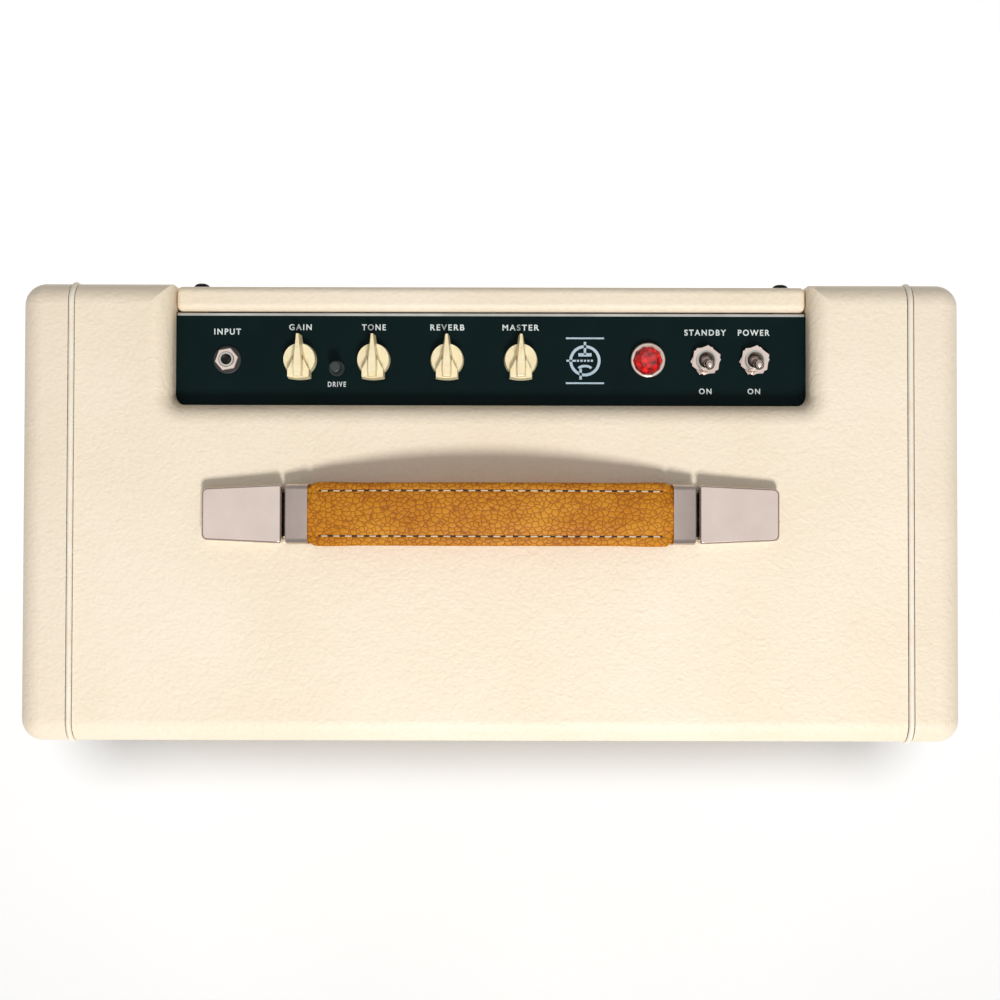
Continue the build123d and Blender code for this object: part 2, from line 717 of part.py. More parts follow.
with BuildPart() as bushing_nuts:
    for x in knob_x.values():
        hex_nut(x, control_y, (panel_z, panel_z + nut_height), nut_flats, bushing_radius, 15)
    hex_nut(jack_x, control_y, (panel_z + 1.2, panel_z + 4.0), nut_flats, jack_radius, 10)
    chamfer(bushing_nuts.edges().filter_by(GeomType.LINE).group_by(Axis.Z)[-1], 0.4)
    for x in rear_jack_x:
        with BuildSketch(Plane(origin=(x, chassis_rear_y, socket_z), x_dir=(1, 0, 0), z_dir=(0, 1, 0))):
            RegularPolygon(nut_flats / 2, 6, major_radius=False)
            Circle(jack_radius, mode=Mode.SUBTRACT)
        extrude(amount=2.6)
write_part(bushing_nuts, "bushing_nuts")

fuse_cap_y = chassis_rear_y + 3.0
with BuildPart() as fuse_holder:
    rod(fuse_x, (apron_inner_y - 28, chassis_rear_y), socket_z, fuse_radius)
    rod(fuse_x, (chassis_rear_y, fuse_cap_y), socket_z, 8.0)
    rod(fuse_x, (apron_inner_y - 26, fuse_cap_y), socket_z, 4.0 + running_gap, Mode.SUBTRACT)
write_part(fuse_holder, "fuse_holder")

with BuildPart() as fuse_cap:
    rod(fuse_x, (fuse_cap_y + 0.2, fuse_cap_y + 7.5), socket_z, 7.0)
    fillet(fuse_cap.edges().group_by(Axis.Y)[-1], 1.0)
    rod(fuse_x, (apron_inner_y - 20, fuse_cap_y + 0.2), socket_z, 4.0)
    block(
        (fuse_x - 5.5, fuse_x + 5.5),
        (fuse_cap_y + 6.5, fuse_cap_y + 8),
        (socket_z - 0.7, socket_z + 0.7),
        Mode.SUBTRACT,
    )
write_part(fuse_cap, "fuse_cap")

with BuildPart() as mains_inlet:
    half_l, half_h = inlet_size[0] / 2, inlet_size[1] / 2
    block((inlet_x - 25, inlet_x + 25), (chassis_rear_y, chassis_rear_y + 3), (socket_z - 13, socket_z + 13))
    fillet(mains_inlet.edges().filter_by(Axis.Y), 4.0)
    block(
        (inlet_x - half_l, inlet_x + half_l),
        (apron_inner_y - 18, chassis_rear_y),
        (socket_z - half_h, socket_z + half_h),
    )
    block(
        (inlet_x - 12.2, inlet_x + 12.2),
        (apron_inner_y - 15, chassis_rear_y + 4),
        (socket_z - 8.2, socket_z + 8.2),
        Mode.SUBTRACT,
    )
    for pin_x, pin_z in ((-7, -2.0), (7, -2.0), (0, 2.0)):
        block(
            (inlet_x + pin_x - 1, inlet_x + pin_x + 1),
            (apron_inner_y - 16, chassis_rear_y - 2),
            (socket_z + pin_z - 2, socket_z + pin_z + 2),
        )
write_part(mains_inlet, "mains_inlet")

# ---- Inside the chassis ----
pillar_z = chassis_z + sheet + 8
with BuildPart() as circuit_board:
    block((-140, 128), (24, 66), (pillar_z, pillar_z + 2))
    for x in (-122, -6, 120):
        disc(x, 45, (chassis_z + sheet, pillar_z), 3.0)
    for i in range(11):
        x = -124 + 23.0 * i
        with Locations(Location((x, 45, pillar_z + 2 + 4.2), (90, 0, 0))):
            Cylinder(4.2 if i % 2 else 2.4, 24 if i % 2 else 12)
        block((x - 0.4, x + 0.4), (31, 59), (pillar_z + 2, pillar_z + 6.6))
write_part(circuit_board, "circuit_board")

# ---- Hung below the chassis: transformers and valves ----
def transformer(x, y, z_top, core, coil):
    """A laminated core standing on edge, with its coil round the middle."""
    block((x - core[0] / 2, x + core[0] / 2), (y - core[1] / 2, y + core[1] / 2), (z_top - core[2], z_top))
    block(
        (x - coil[0] / 2, x + coil[0] / 2),
        (y - coil[1] / 2, y + coil[1] / 2),
        (z_top - core[2] + 12, z_top - 12),
    )
    for side in (-1, 1):
        edge_y = y + side * core[1] / 2
        block((x - 12, x + 12), (edge_y - 8, edge_y + 8), (z_top - 2, z_top))


with BuildPart() as power_transformer:
    transformer(105, 62, chassis_z, (92, 44, 78), (56, 76, 78))
write_part(power_transformer, "power_transformer")

with BuildPart() as output_transformer:
    transformer(-62, 62, chassis_z, (60, 30, 52), (36, 50, 52))
write_part(output_transformer, "output_transformer")

with BuildPart() as valve_sockets:
    for x, y in octal_places.values():
        disc(x, y, (chassis_z - 2, chassis_z), 19.0)
        disc(x, y, (chassis_z - 6, chassis_z + 8), octal_hole)
        disc(x, y, (chassis_z - 7, chassis_z - 1), 4.2, Mode.SUBTRACT)
    for x, y in noval_places:
        disc(x, y, (chassis_z - 2, chassis_z), 13.0)
        disc(x, y, (chassis_z - 5, chassis_z + 7), noval_hole)
write_part(valve_sockets, "valve_sockets")


valve_sizes = {"rectifier": (15.5, 92.0), "power": (17.5, 104.0)}
valve_base_z = chassis_z - 6
with BuildPart() as octal_valves:
    for name, (x, y) in octal_places.items():
        radius, length = valve_sizes[name]
        disc(x, y, (valve_base_z - length, valve_base_z - 10), radius)
        bulb_end_z = valve_base_z - length
        fillet(octal_valves.edges().filter_by_position(Axis.Z, bulb_end_z - 1, bulb_end_z + 1), 12)
        disc(x, y, (valve_base_z - 16, valve_base_z), 18.2)
        disc(x, y, (valve_base_z, valve_base_z + 4.5), 4.0)
write_part(octal_valves, "octal_valves")

with BuildPart() as preamp_valves:
    for x, y in noval_places:
        disc(x, y, (chassis_z - 5 - 50, chassis_z - 5), 10.8)
        fillet(preamp_valves.edges().group_by(Axis.Z)[0], 5.0)
write_part(preamp_valves, "preamp_valves")

tank_y = -45.0
tank_top_z = floor_z + 33
with BuildPart() as reverb_tank:
    block((-118, 118), (tank_y - 55, tank_y + 55), (floor_z, tank_top_z))
    block((-116.8, 116.8), (tank_y - 53.8, tank_y + 53.8), (floor_z - 1, tank_top_z - 1.2), Mode.SUBTRACT)
    for side in (-1, 1):
        ends = sorted((side * 118, side * 130))
        block(ends, (tank_y - 55, tank_y + 55), (floor_z, floor_z + 1.4))
write_part(reverb_tank, "reverb_tank")

with BuildPart() as tank_springs:
    for offset in (-26, 0, 26):
        with Locations(Location((0, tank_y + offset, floor_z + 16), (0, 90, 0))):
            Cylinder(2.2, 190)
        for side in (-1, 1):
            centre_x = side * 104
            block(
                (centre_x - 9, centre_x + 9),
                (tank_y + offset - 7, tank_y + offset + 7),
                (floor_z + 6, tank_top_z - 1.2),
            )
write_part(tank_springs, "tank_springs")

# ---- Handle: end caps on the top, and a strap in three lengths that meet at its two flex lines ----
with BuildPart() as cap_hollow:
    with BuildSketch(Plane.XY.offset(top_z)):
        with BuildLine():
            Polyline(
                (cap_inner_x + cap_wall, -cap_inner_width / 2 + cap_wall),
                (cap_outer_x - cap_wall, -cap_outer_width / 2 + cap_wall),
                (cap_outer_x - cap_wall, cap_outer_width / 2 - cap_wall),
                (cap_inner_x + cap_wall, cap_inner_width / 2 - cap_wall),
                close=True,
            )
        make_face()
    extrude(amount=cap_height)
    with BuildSketch(Plane.XZ):
        with BuildLine():
            Polyline(
                (cap_inner_x, top_z + cap_height - cap_wall),
                (cap_outer_x, top_z + cap_end_height - cap_wall),
                (cap_outer_x, top_z + 2 * cap_height),
                (cap_inner_x, top_z + 2 * cap_height),
                close=True,
            )
        make_face()
    extrude(amount=cap_inner_width, both=True, mode=Mode.SUBTRACT)

with BuildPart() as right_cap:
    with BuildSketch(Plane.XY.offset(top_z)):
        with BuildLine():
            Polyline(
                (cap_inner_x, -cap_inner_width / 2),
                (cap_outer_x, -cap_outer_width / 2),
                (cap_outer_x, cap_outer_width / 2),
                (cap_inner_x, cap_inner_width / 2),
                close=True,
            )
        make_face()
    extrude(amount=cap_height)
    with BuildSketch(Plane.XZ):
        with BuildLine():
            Polyline(
                (cap_inner_x, top_z + cap_height),
                (cap_outer_x, top_z + cap_end_height),
                (cap_outer_x + 1, top_z + 2 * cap_height),
                (cap_inner_x, top_z + 2 * cap_height),
                close=True,
            )
        make_face()
    extrude(amount=cap_inner_width, both=True, mode=Mode.SUBTRACT)
    fillet(right_cap.edges().filter_by(Axis.Z).group_by(Axis.X)[-1], 3.5)
    fillet(right_cap.edges().filter_by(Axis.Z).group_by(Axis.X)[0], 1.5)
    roof = right_cap.faces().sort_by(Axis.Z)[-1]
    fillet(roof.edges(), 1.5)
    add(cap_hollow.part, mode=Mode.SUBTRACT)
    block((cap_inner_x - 1, cap_inner_x + cap_wall), (-14.5, 14.5), (top_z, top_z + 9.6), Mode.SUBTRACT)
    for x, radius in zip(cap_screw_x, (2.8, 4.0)):
        roof_z = top_z + cap_end_height - cap_wall + 0.5
        disc(x, 0, (top_z, roof_z), radius)
        disc(x, 0, (top_z, top_z + 6), cap_screw_radius, Mode.SUBTRACT)

left_cap = mirror(right_cap.part, about=Plane.YZ)
with BuildPart() as handle_caps:
    with Locations((0, handle_y, 0)):
        add(right_cap.part)
        add(left_cap)
write_part(handle_caps, "handle_caps")

screw_head_radius = 4.0
screw_head = 2.6
machine_screws_at = [(x, y, plate_z - sheet, panel_z + 10, 2.0) for x, y in chassis_screw_places]
machine_screws_at += [(x, y, panel_z, top_z + 6, cap_screw_radius) for x, y in cap_screw_places]
with BuildPart() as machine_screws:
    for x, y, seat_z, tip_z, radius in machine_screws_at:
        disc(x, y, (seat_z - screw_head, seat_z), screw_head_radius)
        disc(x, y, (seat_z, tip_z), radius)
        block((x - 2.8, x + 2.8), (y - 0.5, y + 0.5), (seat_z - 3, seat_z - 1.6), Mode.SUBTRACT)
write_part(machine_screws, "machine_screws")

arch_radius = (ferrule_x**2 + strap_arch**2) / (2 * strap_arch)
arch_z = top_z + strap_end_rise + strap_arch - arch_radius
end_slope = asin(ferrule_x / arch_radius)


def strap_length(x_from, x_to):
    """A length of the arched strap with rounded long edges."""
    with BuildPart() as length:
        with BuildSketch(Plane.XZ):
            with Locations((0, arch_z)):
                Circle(arch_radius + strap_thickness / 2)
                Circle(arch_radius - strap_thickness / 2, mode=Mode.SUBTRACT)
            with Locations(((x_from + x_to) / 2, top_z + strap_end_rise)):
                Rectangle(x_to - x_from, 4 * strap_arch, mode=Mode.INTERSECT)
        extrude(amount=strap_width / 2, both=True)
        fillet(length.edges().filter_by(GeomType.CIRCLE), 2.4)
    return length.part


grip_half = strap_joint_x - strap_joint_gap / 2
with BuildPart() as handle_grip:
    with Locations((0, handle_y, 0)):
        add(strap_length(-grip_half, grip_half))
write_part(handle_grip, "handle_grip")

strap_end = Plane(
    origin=(ferrule_x, 0, top_z + strap_end_rise),
    x_dir=(0, 1, 0),
    z_dir=(cos(end_slope), 0, -sin(end_slope)),
)
plug_length = 12.0
with BuildPart() as right_strap:
    add(strap_length(strap_joint_x + strap_joint_gap / 2, ferrule_x))
    with BuildSketch(Plane.XY.offset(top_z)):
        with BuildLine():
            Polyline(
                (ferrule_x - 9, -strap_width / 2 - 1),
                (ferrule_x - 9, -strap_width / 2),
                (ferrule_x, -strap_neck_width / 2),
                (ferrule_x + 1, -strap_width / 2 - 1),
                close=True,
            )
        make_face()
        mirror(about=Plane.XZ)
    extrude(amount=4 * strap_arch, mode=Mode.SUBTRACT)
    with BuildSketch(strap_end):
        Rectangle(2 * strap_width, 2 * strap_thickness)
    extrude(amount=strap_thickness, mode=Mode.SUBTRACT)
    with BuildSketch(strap_end):
        RectangleRounded(strap_neck_width, strap_thickness, 2.4)
    extrude(amount=plug_length)

with BuildPart() as right_ferrule:
    with BuildSketch(strap_end):
        RectangleRounded(ferrule_width, ferrule_thickness, 3.4)
    extrude(amount=ferrule_length)
    fillet(right_ferrule.edges().group_by(Axis.X)[-1], 1.0)
    with BuildSketch(strap_end):
        RectangleRounded(strap_neck_width, strap_thickness, 2.4)
    extrude(amount=plug_length, mode=Mode.SUBTRACT)
    with BuildSketch(strap_end):
        Rectangle(tongue_width + 0.6, tongue_thickness + 1.4)
    extrude(amount=ferrule_length, mode=Mode.SUBTRACT)

plug_end_x = ferrule_x + plug_length * cos(end_slope)
plug_end_z = top_z + strap_end_rise - plug_length * sin(end_slope)
bend_x = plug_end_x + (plug_end_z - top_z - tongue_rise) / tan(end_slope)
half_tongue = tongue_thickness / 2
with BuildPart() as right_tongue:
    with BuildSketch(Plane.XZ):
        with BuildLine():
            Polyline(
                (plug_end_x - half_tongue * sin(end_slope), plug_end_z - half_tongue * cos(end_slope)),
                (bend_x, top_z + tongue_rise - half_tongue),
                (tongue_end_x, top_z + tongue_rise - half_tongue),
                (tongue_end_x, top_z + tongue_rise + half_tongue),
                (bend_x, top_z + tongue_rise + half_tongue),
                (plug_end_x + half_tongue * sin(end_slope), plug_end_z + half_tongue * cos(end_slope)),
                close=True,
            )
        make_face()
    extrude(amount=tongue_width / 2, both=True)
    block(tongue_slot, (-4.2, 4.2), (top_z, top_z + cap_height), Mode.SUBTRACT)

with BuildPart() as right_end:
    add(right_ferrule.part)
    add(right_tongue.part)

for name, right_piece in (("strap", right_strap.part), ("ferrule", right_end.part)):
    for side, shape in (("right", right_piece), ("left", mirror(right_piece, about=Plane.YZ))):
        with BuildPart() as piece:
            with Locations((0, handle_y, 0)):
                add(shape)
        write_part(piece, f"{side}_{name}")
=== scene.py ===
"""Looks of the guitar amplifier head: materials, strap, cloth, lettering, stage, light and camera.

Lengths are in metres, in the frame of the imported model: +X right, -Y front, +Z up, floor at z = 0.
"""

import json
import math

import bmesh
import bpy
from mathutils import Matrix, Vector

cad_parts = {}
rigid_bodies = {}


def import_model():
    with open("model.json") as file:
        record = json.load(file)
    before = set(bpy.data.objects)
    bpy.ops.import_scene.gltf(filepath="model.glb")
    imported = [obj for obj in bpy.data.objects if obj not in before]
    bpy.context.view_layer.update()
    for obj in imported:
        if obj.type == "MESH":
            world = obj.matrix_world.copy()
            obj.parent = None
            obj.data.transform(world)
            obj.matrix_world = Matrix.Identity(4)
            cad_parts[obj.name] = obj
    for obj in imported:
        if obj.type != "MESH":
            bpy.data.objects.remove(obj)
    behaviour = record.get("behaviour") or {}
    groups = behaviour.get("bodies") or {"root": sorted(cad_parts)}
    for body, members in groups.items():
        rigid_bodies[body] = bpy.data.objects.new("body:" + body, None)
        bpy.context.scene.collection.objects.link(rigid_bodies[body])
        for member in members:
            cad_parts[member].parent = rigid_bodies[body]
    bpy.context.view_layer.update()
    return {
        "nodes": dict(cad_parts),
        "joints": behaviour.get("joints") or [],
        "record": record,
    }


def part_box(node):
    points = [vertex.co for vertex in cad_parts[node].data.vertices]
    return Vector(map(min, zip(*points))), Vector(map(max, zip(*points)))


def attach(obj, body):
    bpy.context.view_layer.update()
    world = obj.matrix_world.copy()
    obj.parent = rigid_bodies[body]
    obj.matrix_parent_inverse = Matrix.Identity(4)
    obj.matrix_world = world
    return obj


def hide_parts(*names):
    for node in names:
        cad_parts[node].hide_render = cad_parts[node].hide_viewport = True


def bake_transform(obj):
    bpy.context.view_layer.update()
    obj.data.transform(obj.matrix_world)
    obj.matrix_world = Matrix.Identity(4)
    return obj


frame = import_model()
MM = 0.001

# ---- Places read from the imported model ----
joint_at = {j["name"]: j.get("pos_m") for j in frame["joints"]}
mount_at = {m["name"]: m["pos_m"] for m in frame["record"]["mounts"]}
panel_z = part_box("faceplate")[1].z
top_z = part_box("centre_covering")[1].z
control_y = joint_at["gain_turn"][1]
knob_x = {name: joint_at[f"{name}_turn"][0] for name in ("gain", "tone", "reverb", "master")}
toggle_x = {name: joint_at[f"{name}_throw"][0] for name in ("standby", "power")}


# ---- Material building ----
def srgb(red, green, blue):
    """A linear colour from 0 to 255 screen values."""

    def linear(value):
        share = value / 255
        return share / 12.92 if share <= 0.04045 else ((share + 0.055) / 1.055) ** 2.4

    return (linear(red), linear(green), linear(blue), 1.0)


class Finish:
    """One procedural material: a Principled shader fed by patterns in object coordinates."""

    def __init__(self, name, roughness, metallic=0.0, **sockets):
        self.material = bpy.data.materials.new(name)
        self.material.use_nodes = True
        self.nodes = self.material.node_tree.nodes
        self.links = self.material.node_tree.links
        self.shader = self.nodes["Principled BSDF"]
        self.shader.inputs["Roughness"].default_value = roughness
        self.shader.inputs["Metallic"].default_value = metallic
        for socket, value in sockets.items():
            self.shader.inputs[socket.replace("_", " ")].default_value = value
        self.place = self.nodes.new("ShaderNodeTexCoord").outputs["Object"]

    def stretched(self, x, y, z):
        """Object coordinates scaled along each axis."""
        mapping = self.nodes.new("ShaderNodeMapping")
        mapping.inputs["Scale"].default_value = (x, y, z)
        self.links.new(self.place, mapping.inputs["Vector"])
        return mapping.outputs["Vector"]

    def noise(self, scale, detail=3.0, place=None, distortion=0.0):
        node = self.nodes.new("ShaderNodeTexNoise")
        node.inputs["Scale"].default_value = scale
        node.inputs["Detail"].default_value = detail
        node.inputs["Distortion"].default_value = distortion
        self.links.new(place or self.place, node.inputs["Vector"])
        return node.outputs["Fac"]

    def cells(self, scale, feature="SMOOTH_F1", place=None):
        node = self.nodes.new("ShaderNodeTexVoronoi")
        node.feature = feature
        node.inputs["Scale"].default_value = scale
        self.links.new(place or self.place, node.inputs["Vector"])
        return node.outputs["Distance"]

    def waves(self, scale, axis, distortion=0.0, place=None):
        node = self.nodes.new("ShaderNodeTexWave")
        node.wave_type = "BANDS"
        node.bands_direction = axis
        node.inputs["Scale"].default_value = scale
        node.inputs["Distortion"].default_value = distortion
        self.links.new(place or self.place, node.inputs["Vector"])
        return node.outputs["Fac"]

    def math(self, operation, first, second):
        node = self.nodes.new("ShaderNodeMath")
        node.operation = operation
        for socket, value in zip(node.inputs, (first, second)):
            if isinstance(value, (int, float)):
                socket.default_value = value
            else:
                self.links.new(value, socket)
        return node.outputs["Value"]

    def range(self, source, low, high, from_low=0.0, from_high=1.0):
        node = self.nodes.new("ShaderNodeMapRange")
        node.inputs["From Min"].default_value = from_low
        node.inputs["From Max"].default_value = from_high
        node.inputs["To Min"].default_value = low
        node.inputs["To Max"].default_value = high
        self.links.new(source, node.inputs["Value"])
        return node.outputs["Result"]

    def ramp(self, source, *stops):
        """A colour picked from (position, colour) stops."""
        node = self.nodes.new("ShaderNodeValToRGB")
        elements = node.color_ramp.elements
        for element, (position, colour) in zip(elements, stops[:2]):
            element.position = position
            element.color = colour
        for position, colour in stops[2:]:
            elements.new(position).color = colour
        self.links.new(source, node.inputs["Fac"])
        return node.outputs["Color"]

    def mixed(self, factor, first, second, blend="MIX"):
        node = self.nodes.new("ShaderNodeMix")
        node.data_type = "RGBA"
        node.blend_type = blend
        for index, value in ((0, factor), (6, first), (7, second)):
            if isinstance(value, (int, float, tuple)):
                node.inputs[index].default_value = value
            else:
                self.links.new(value, node.inputs[index])
        return node.outputs[2]

    def colour(self, source):
        self.links.new(source, self.shader.inputs["Base Color"])

    def roughness(self, source):
        self.links.new(source, self.shader.inputs["Roughness"])

    def bump(self, height, strength, distance):
        node = self.nodes.new("ShaderNodeBump")
        node.inputs["Strength"].default_value = strength
        node.inputs["Distance"].default_value = distance
        self.links.new(height, node.inputs["Height"])
        self.links.new(node.outputs["Normal"], self.shader.inputs["Normal"])


def vinyl(name, light, dark):
    """Cream vinyl covering, with a fine leather grain pressed into it."""
    finish = Finish(name, 0.5)
    drift = finish.noise(9.0, 4.0)
    grain = finish.cells(430.0, "SMOOTH_F1", finish.stretched(1.0, 1.35, 1.2))
    creases = finish.noise(170.0, 4.0, distortion=1.1)
    tone = finish.ramp(drift, (0.3, dark), (0.7, light))
    # painted shade: the grain's pits are tinted a little darker, where the bump below presses the
    # surface down
    pit_shade = finish.ramp(grain, (0.3, srgb(255, 255, 255)), (0.95, srgb(244, 238, 226)))
    finish.colour(finish.mixed(0.4, tone, pit_shade, "MULTIPLY"))
    finish.roughness(finish.range(creases, 0.44, 0.6))
    pressed, folded = finish.math("MULTIPLY", grain, -0.5), finish.math("MULTIPLY", creases, 1.2)
    finish.bump(finish.math("ADD", pressed, folded), 0.55, 0.0006)
    return finish.material


def smooth_vinyl(name, light, dark):
    """Softer moulded vinyl of a piping or bead."""
    finish = Finish(name, 0.42)
    drift = finish.noise(60.0, 3.0)
    finish.colour(finish.ramp(drift, (0.3, dark), (0.7, light)))
    finish.roughness(finish.range(finish.noise(400.0), 0.36, 0.5))
    finish.bump(finish.noise(900.0, 2.0), 0.15, 0.0002)
    return finish.material


def enamel(name, light, dark, roughness=0.3, orange_peel=0.06):
    """Baked enamel with a faint orange peel."""
    finish = Finish(name, roughness, Specular_IOR_Level=0.05)
    finish.colour(finish.ramp(finish.noise(25.0, 4.0), (0.3, dark), (0.75, light)))
    finish.roughness(finish.range(finish.noise(180.0, 5.0), roughness - 0.06, roughness + 0.1))
    finish.bump(finish.noise(700.0, 2.0), orange_peel, 0.0002)
    return finish.material


def metal(name, light, dark, roughness, brushed=None, bump=0.05):
    """Plated or bare metal, with handling marks in its gloss, and brushing along one axis if given."""
    finish = Finish(name, roughness, 1.0)
    place = finish.stretched(*brushed) if brushed else finish.place
    marks = finish.noise(140.0, 6.0, place)
    finish.colour(finish.ramp(finish.noise(40.0, 4.0), (0.3, dark), (0.7, light)))
    finish.roughness(finish.range(marks, roughness * 0.85, roughness * 1.25))
    finish.bump(marks, bump, 0.0002)
    return finish.material


def plastic(name, light, dark, roughness, grain=500.0, bump=0.12):
    """Moulded plastic with a slight texture."""
    finish = Finish(name, roughness)
    finish.colour(finish.ramp(finish.noise(90.0, 3.0), (0.3, dark), (0.7, light)))
    finish.roughness(finish.range(finish.noise(grain), roughness * 0.85, roughness * 1.2))
    finish.bump(finish.noise(grain * 2, 2.0), bump, 0.0002)
    return finish.material


def ivory(name):
    """Ivory phenolic of the pointer knobs: waxy and faintly clouded."""
    finish = Finish(name, 0.34, Subsurface_Weight=0.12, Subsurface_Scale=0.002, Coat_Weight=0.15)
    clouds = finish.noise(170.0, 4.0, distortion=0.6)
    finish.colour(finish.ramp(clouds, (0.3, srgb(246, 226, 180)), (0.72, srgb(254, 240, 200))))
    finish.roughness(finish.range(finish.noise(600.0), 0.28, 0.44))
    finish.bump(finish.noise(1500.0, 2.0), 0.06, 0.0001)
    return finish.material


def strap_leather(name):
    """Tan strap leather with a pebbled grain, with painted shade in the crevices between its pebbles.
    """
    finish = Finish(name, 0.46, Specular_IOR_Level=0.22)
    pebbles = finish.cells(280.0, "DISTANCE_TO_EDGE", finish.stretched(1.0, 1.3, 1.0))
    wrinkles = finish.noise(520.0, 4.0, distortion=0.6)
    drift = finish.noise(45.0, 5.0)
    tans = (0.28, srgb(190, 116, 10)), (0.5, srgb(202, 130, 20)), (0.75, srgb(214, 146, 36))
    base = finish.ramp(drift, *tans)
    # painted shade: the colour darkens towards the edges of each pebble, in the crevices that the bump
    # below presses down
    crevice_shade = finish.ramp(pebbles, (0.02, srgb(178, 140, 92)), (0.12, srgb(255, 253, 248)))
    finish.colour(finish.mixed(0.7, base, crevice_shade, "MULTIPLY"))
    finish.roughness(finish.range(wrinkles, 0.38, 0.6))
    domes = finish.math("POWER", finish.range(pebbles, 0.0, 1.0, 0.0, 0.45), 0.5)
    finish.bump(finish.math("ADD", domes, finish.math("MULTIPLY", wrinkles, 0.35)), 0.6, 0.0005)
    return finish.material


def weave(name, warp, weft):
    """Woven speaker cloth: two sets of threads crossing, tan and cream with a gold fleck."""
    finish = Finish(name, 0.8, Sheen_Weight=0.2, Sheen_Roughness=0.5)
    across = finish.waves(210.0, "X", 0.15)
    along = finish.waves(210.0, "Z", 0.15)
    checks = finish.math("MULTIPLY", across, along)
    flecks = finish.cells(330.0, "F1", finish.stretched(0.35, 1.0, 1.6))
    ground = finish.ramp(checks, (0.1, srgb(96, 72, 40)), (0.35, warp), (0.8, weft))
    gold = finish.ramp(flecks, (0.1, srgb(214, 176, 104)), (0.6, srgb(146, 116, 74)))
    finish.colour(finish.mixed(0.35, ground, gold))
    finish.roughness(finish.range(across, 0.7, 0.9))
    finish.bump(finish.math("ADD", across, along), 0.6, 0.0004)
    return finish.material


def timber(name):
    """Bare birch ply, grained along X."""
    finish = Finish(name, 0.65)
    grain = finish.noise(30.0, 6.0, finish.stretched(0.15, 2.5, 2.5), 0.6)
    finish.colour(finish.ramp(grain, (0.3, srgb(176, 138, 90)), (0.7, srgb(214, 182, 134))))
    finish.roughness(finish.range(grain, 0.55, 0.75))
    finish.bump(grain, 0.15, 0.0004)
    return finish.material


def glass(name, tint, roughness=0.03):
    """Tinted glass with a breath of dust on it."""
    finish = Finish(name, roughness, Transmission_Weight=1.0, IOR=1.5)
    dusty = tuple(c * 0.92 for c in tint[:3]) + (1.0,)
    finish.colour(finish.ramp(finish.noise(70.0, 3.0), (0.2, tint), (0.8, dusty)))
    finish.roughness(finish.range(finish.noise(300.0), roughness, roughness + 0.08))
    finish.bump(finish.noise(60.0, 1.0), 0.02, 0.0002)
    return finish.material


def jewel(name):
    """Red faceted jewel, glowing a little from the lamp below it."""
    finish = Finish(name, 0.08, Transmission_Weight=0.3, IOR=1.55)
    flashes = finish.cells(260.0, "F1")
    deepening = (0.1, srgb(214, 42, 44)), (0.4, srgb(170, 16, 26)), (0.8, srgb(78, 4, 12))
    reds = finish.ramp(flashes, *deepening)
    finish.colour(reds)
    finish.links.new(reds, finish.shader.inputs["Emission Color"])
    finish.shader.inputs["Emission Strength"].default_value = 0.08
    finish.bump(finish.cells(420.0, "F1"), 0.55, 0.0006)
    return finish.material


def lamp_glass(name):
    """Small pilot bulb, lit."""
    finish = Finish(name, 0.1, Transmission_Weight=0.6)
    warm = finish.ramp(finish.noise(300.0), (0.3, srgb(255, 190, 110)), (0.7, srgb(255, 226, 170)))
    finish.colour(warm)
    finish.links.new(warm, finish.shader.inputs["Emission Color"])
    finish.shader.inputs["Emission Strength"].default_value = 6.0
    return finish.material


cream = (srgb(250, 236, 214), srgb(243, 227, 201))
nickel = metal("polished_nickel", srgb(211, 195, 186), srgb(201, 185, 176), 0.17)
zinc = metal("zinc_steel", srgb(190, 188, 182), srgb(160, 158, 154), 0.36, (1.0, 12.0, 1.0))
moulded_black = plastic("moulded_black", srgb(30, 31, 33), srgb(20, 21, 22), 0.42)
black_steel = enamel("black_steel", srgb(34, 35, 38), srgb(22, 23, 25), 0.38, 0.15)
finishes = {
    "wood": timber("birch_ply"),
    "centre_vinyl": vinyl("centre_vinyl", *cream),
    "side_vinyl": vinyl("side_vinyl", srgb(247, 232, 211), srgb(240, 224, 200)),
    "panel_vinyl": vinyl("panel_vinyl", *cream),
    "piping": smooth_vinyl("piping_vinyl", srgb(250, 242, 226), srgb(242, 230, 208)),
    "trim": smooth_vinyl("trim_vinyl", srgb(250, 242, 226), srgb(242, 230, 208)),
    "grille_cloth": weave("speaker_cloth", srgb(168, 134, 86), srgb(222, 204, 168)),
    "black_steel": black_steel,
    "rubber": plastic("foot_rubber", srgb(34, 34, 34), srgb(22, 22, 22), 0.7, 300.0, 0.3),
    "steel": zinc,
    "nickel": nickel,
    "leather": strap_leather("strap_leather"),
    "faceplate": enamel("faceplate_enamel", srgb(9, 29, 30), srgb(5, 22, 23), 0.45),
    "black_plastic": moulded_black,
    "brass": metal("turned_brass", srgb(214, 178, 104), srgb(188, 150, 82), 0.28, (1.0, 1.0, 30.0)),
    "ivory": ivory("ivory_phenolic"),
    "button": plastic("button_black", srgb(36, 44, 46), srgb(22, 28, 30), 0.3),
    "jewel": jewel("red_jewel"),
    "lamp": lamp_glass("lamp_glass"),
    "board": plastic("fibre_board", srgb(104, 70, 38), srgb(84, 54, 28), 0.6),
    "transformer": enamel("transformer_enamel", srgb(40, 40, 42), srgb(26, 26, 28), 0.45, 0.2),
    "valve_glass": glass("valve_glass", srgb(240, 244, 244)),
    "ceramic": plastic("socket_ceramic", srgb(232, 228, 218), srgb(214, 208, 196), 0.35),
}

slot_of = {part["node"]: part["material_slot"] for part in frame["record"]["subparts"]}
for name, node in frame["nodes"].items():
    node.data.materials.clear()
    node.data.materials.append(finishes[slot_of[name]])


# ---- Mesh building ----
def new_object(name, mesh, material, body):
    """A mesh object with one material, riding on a CAD body."""
    obj = bpy.data.objects.new(name, mesh)
    bpy.context.scene.collection.objects.link(obj)
    mesh.materials.append(material)
    if body:
        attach(obj, body)
    return obj


